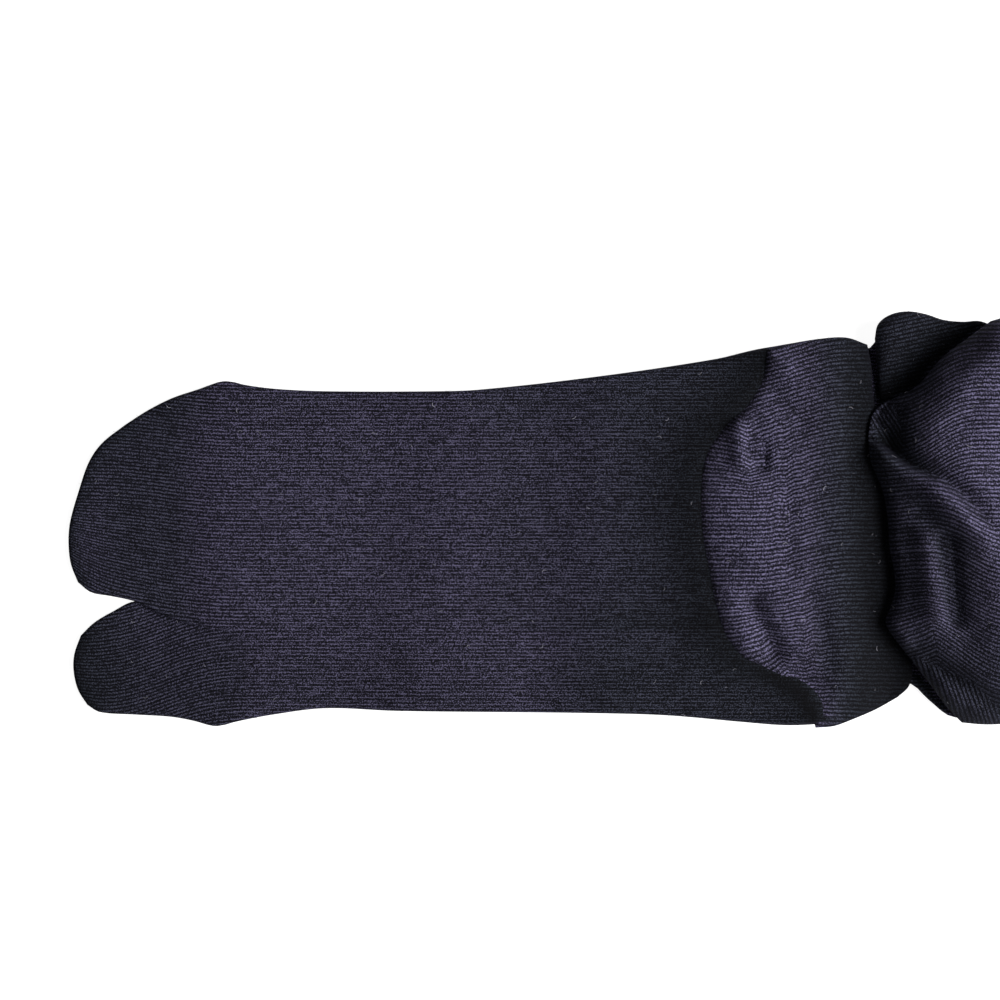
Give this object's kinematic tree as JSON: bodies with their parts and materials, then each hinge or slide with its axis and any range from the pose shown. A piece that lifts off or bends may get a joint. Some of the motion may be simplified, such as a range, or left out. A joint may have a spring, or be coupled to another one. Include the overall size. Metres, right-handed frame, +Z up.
{
  "type": "tabi socks",
  "caption": "Split-toe knitted ankle socks lying sole up on one another, legs turned under and heel pouches folded over.",
  "frame": {"origin": "middle of the pair's bounding box, on the surface the pair lies on", "axes": "+X from the toes toward the ankles, +Y across the soles, +Z up out of the soles"},
  "size_m": [0.2794, 0.1143, 0.0267],
  "materials": {
    "sock_knit": "matt fine-gauge cotton knit, ink navy",
    "cuff_rib": "matt elastic rib knit, ink navy"
  },
  "bodies": {
    "root": {"left_toe_pocket": "sock_knit", "left_big_toe_pocket": "sock_knit", "left_foot": "sock_knit", "left_heel": "sock_knit", "left_leg": "sock_knit", "left_cuff": "cuff_rib", "right_toe_pocket": "sock_knit", "right_big_toe_pocket": "sock_knit", "right_foot": "sock_knit", "right_sole_bulge": "sock_knit", "right_heel": "sock_knit", "right_leg": "sock_knit", "right_cuff": "cuff_rib"}
  },
  "joints": []
}
